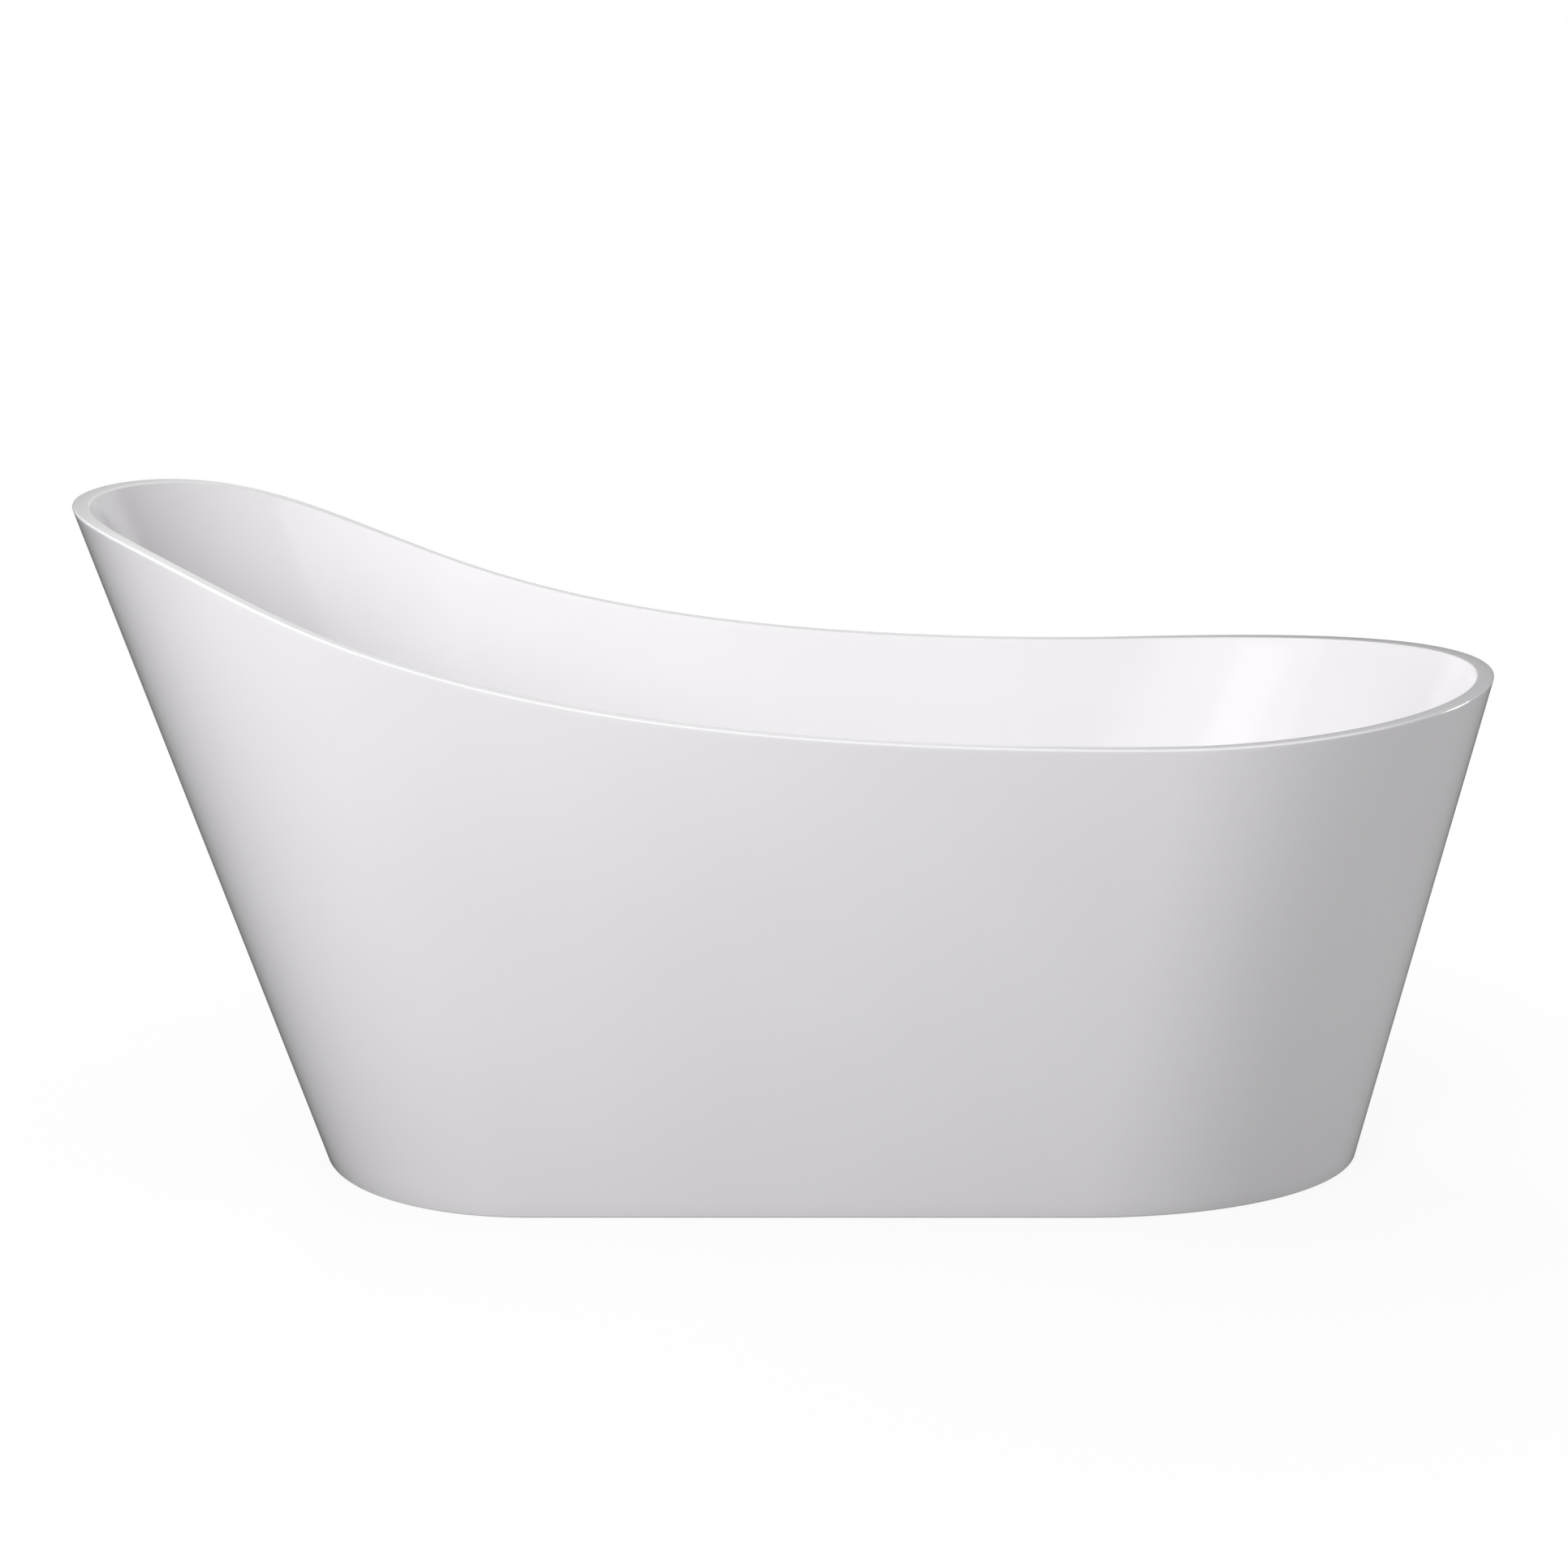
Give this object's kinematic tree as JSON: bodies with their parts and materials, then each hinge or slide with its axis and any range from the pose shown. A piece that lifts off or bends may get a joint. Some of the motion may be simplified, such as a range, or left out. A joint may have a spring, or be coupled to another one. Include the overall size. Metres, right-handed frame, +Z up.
{
  "type": "freestanding bathtub",
  "caption": "Glossy white freestanding slipper bathtub with one high sweeping backrest end, a thin flat rim, a pop-up drain, an overflow and levelling feet.",
  "frame": {"origin": "centre of the tub's outline box, on the floor that it stands on", "axes": "+X from the high slipper end to the low foot end, +Y to the bather's left, +Z up"},
  "size_m": [1.6974, 0.7606, 0.8192],
  "materials": {
    "acrylic": "high gloss white",
    "bond": "satin white filler",
    "plywood": "raw plywood",
    "galvanised_steel": "galvanised",
    "zinc_fastener": "zinc plated",
    "black_plastic": "moulded black",
    "chrome": "polished chrome",
    "brass": "machined brass",
    "spring_steel": "drawn wire",
    "rubber": "moulded rubber",
    "white_pvc": "moulded plastic",
    "chromed_tube": "chromed tube",
    "hose": "grey flexible hose"
  },
  "bodies": {
    "tub": {"basin_shell": "acrylic", "drain_flange": "chrome", "drain_gasket": "rubber", "drain_washer": "rubber", "floor_board": "plywood", "foot_jam_nuts": "zinc_fastener", "foot_weld_nuts": "zinc_fastener", "frame_cross_foot": "galvanised_steel", "frame_cross_head": "galvanised_steel", "frame_cross_middle": "galvanised_steel", "frame_rail_left": "galvanised_steel", "frame_rail_right": "galvanised_steel", "frame_screws": "zinc_fastener", "hose_clamps": "zinc_fastener", "outer_skirt": "acrylic", "overflow_cover": "chrome", "overflow_elbow": "white_pvc", "overflow_gasket": "rubber", "overflow_hose": "hose", "overflow_screw": "chrome", "rail_end_caps": "black_plastic", "rim_bond_bead": "bond", "stopper_cartridge": "brass", "stopper_spring": "spring_steel", "tailpiece": "chromed_tube", "waste_body": "white_pvc", "waste_slip_nut": "white_pvc", "waste_slip_washer": "rubber"},
    "stopper": {"stopper_cap": "chrome", "stopper_seal": "rubber", "stopper_plunger": "brass"},
    "pad_head_left": {"foot_pad_head_left": "black_plastic"},
    "stud_head_left": {"foot_stud_head_left": "zinc_fastener"},
    "pad_head_right": {"foot_pad_head_right": "black_plastic"},
    "stud_head_right": {"foot_stud_head_right": "zinc_fastener"},
    "pad_foot_left": {"foot_pad_foot_left": "black_plastic"},
    "stud_foot_left": {"foot_stud_foot_left": "zinc_fastener"},
    "pad_foot_right": {"foot_pad_foot_right": "black_plastic"},
    "stud_foot_right": {"foot_stud_foot_right": "zinc_fastener"}
  },
  "joints": [
    {"name": "stopper_lift", "type": "slide", "parent": "tub", "child": "stopper", "axis": [0, 0, 1], "range_m": [0, 0.009], "deforming": ["stopper_spring"]},
    {"name": "foot_height_head_left", "type": "slide", "parent": "tub", "child": "pad_head_left", "axis": [0, 0, 1], "range_m": [-0.015, 0.01]},
    {"name": "foot_turn_head_left", "type": "hinge", "parent": "pad_head_left", "child": "stud_head_left", "pos_m": [-0.31659, 0.14719, 0.06], "axis": [0, 0, 1], "range_deg": [-3090, 2060]},
    {"name": "foot_height_head_right", "type": "slide", "parent": "tub", "child": "pad_head_right", "axis": [0, 0, 1], "range_m": [-0.015, 0.01]},
    {"name": "foot_turn_head_right", "type": "hinge", "parent": "pad_head_right", "child": "stud_head_right", "pos_m": [-0.31659, -0.14719, 0.06], "axis": [0, 0, 1], "range_deg": [-3090, 2060]},
    {"name": "foot_height_foot_left", "type": "slide", "parent": "tub", "child": "pad_foot_left", "axis": [0, 0, 1], "range_m": [-0.015, 0.01]},
    {"name": "foot_turn_foot_left", "type": "hinge", "parent": "pad_foot_left", "child": "stud_foot_left", "pos_m": [0.33907, 0.14719, 0.06], "axis": [0, 0, 1], "range_deg": [-3090, 2060]},
    {"name": "foot_height_foot_right", "type": "slide", "parent": "tub", "child": "pad_foot_right", "axis": [0, 0, 1], "range_m": [-0.015, 0.01]},
    {"name": "foot_turn_foot_right", "type": "hinge", "parent": "pad_foot_right", "child": "stud_foot_right", "pos_m": [0.33907, -0.14719, 0.06], "axis": [0, 0, 1], "range_deg": [-3090, 2060]}
  ],
  "couplings": [
    {"joint": "foot_turn_head_left", "follows": "foot_height_head_left", "rad_per_m": 3590.4},
    {"joint": "foot_turn_head_right", "follows": "foot_height_head_right", "rad_per_m": 3590.4},
    {"joint": "foot_turn_foot_left", "follows": "foot_height_foot_left", "rad_per_m": 3590.4},
    {"joint": "foot_turn_foot_right", "follows": "foot_height_foot_right", "rad_per_m": 3590.4}
  ]
}
